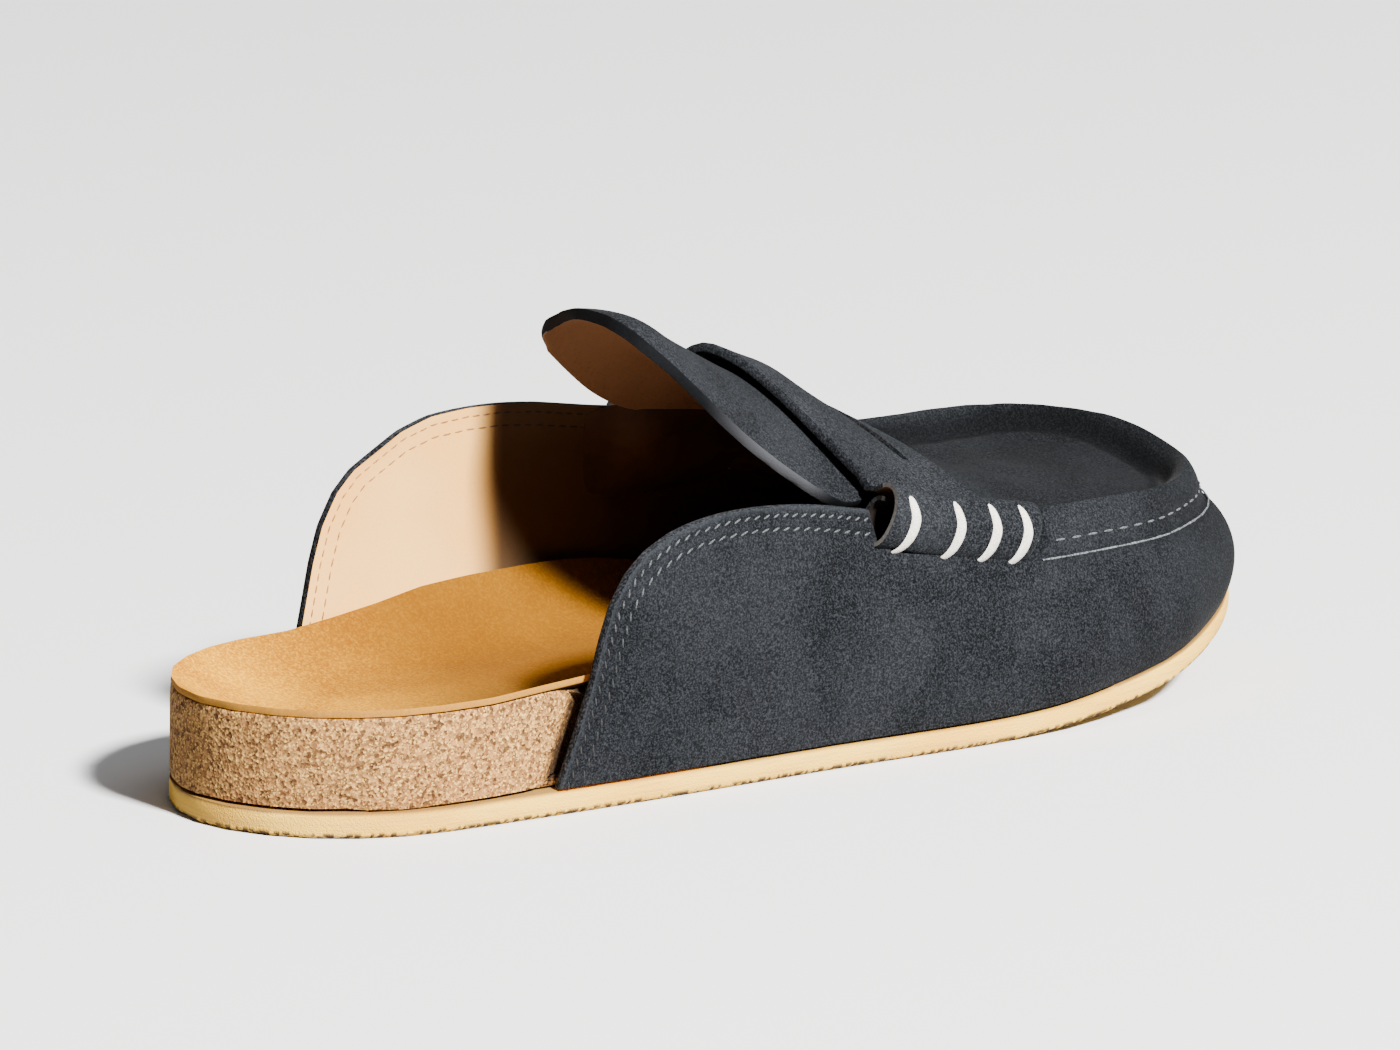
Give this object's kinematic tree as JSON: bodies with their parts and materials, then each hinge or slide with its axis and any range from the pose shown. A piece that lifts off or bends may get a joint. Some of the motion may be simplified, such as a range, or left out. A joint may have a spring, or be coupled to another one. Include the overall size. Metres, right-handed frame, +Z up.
{
  "type": "loafer mule",
  "caption": "Backless loafer mule for the right foot: cork footbed on a thin outsole, moccasin upper with curved wings, flared tongue and strap with rolled ends.",
  "frame": {"origin": "middle of the shoe's bounding box, on the floor it stands on", "axes": "+Y from heel to toe, +X towards the outer side of the right foot, +Z up"},
  "size_m": [0.1074, 0.2858, 0.1001],
  "materials": {
    "outsole": "pale cream crepe rubber, matt",
    "cork": "speckled pressed cork, matt",
    "insole": "ochre suede",
    "suede": "charcoal navy suede, fine nap"
  },
  "bodies": {
    "root": {"outsole": "outsole", "midsole_cork": "cork", "insole": "insole", "upper": "suede", "tongue": "suede", "saddle_strap": "suede", "beef_roll_lateral": "suede", "beef_roll_medial": "suede"}
  },
  "joints": []
}
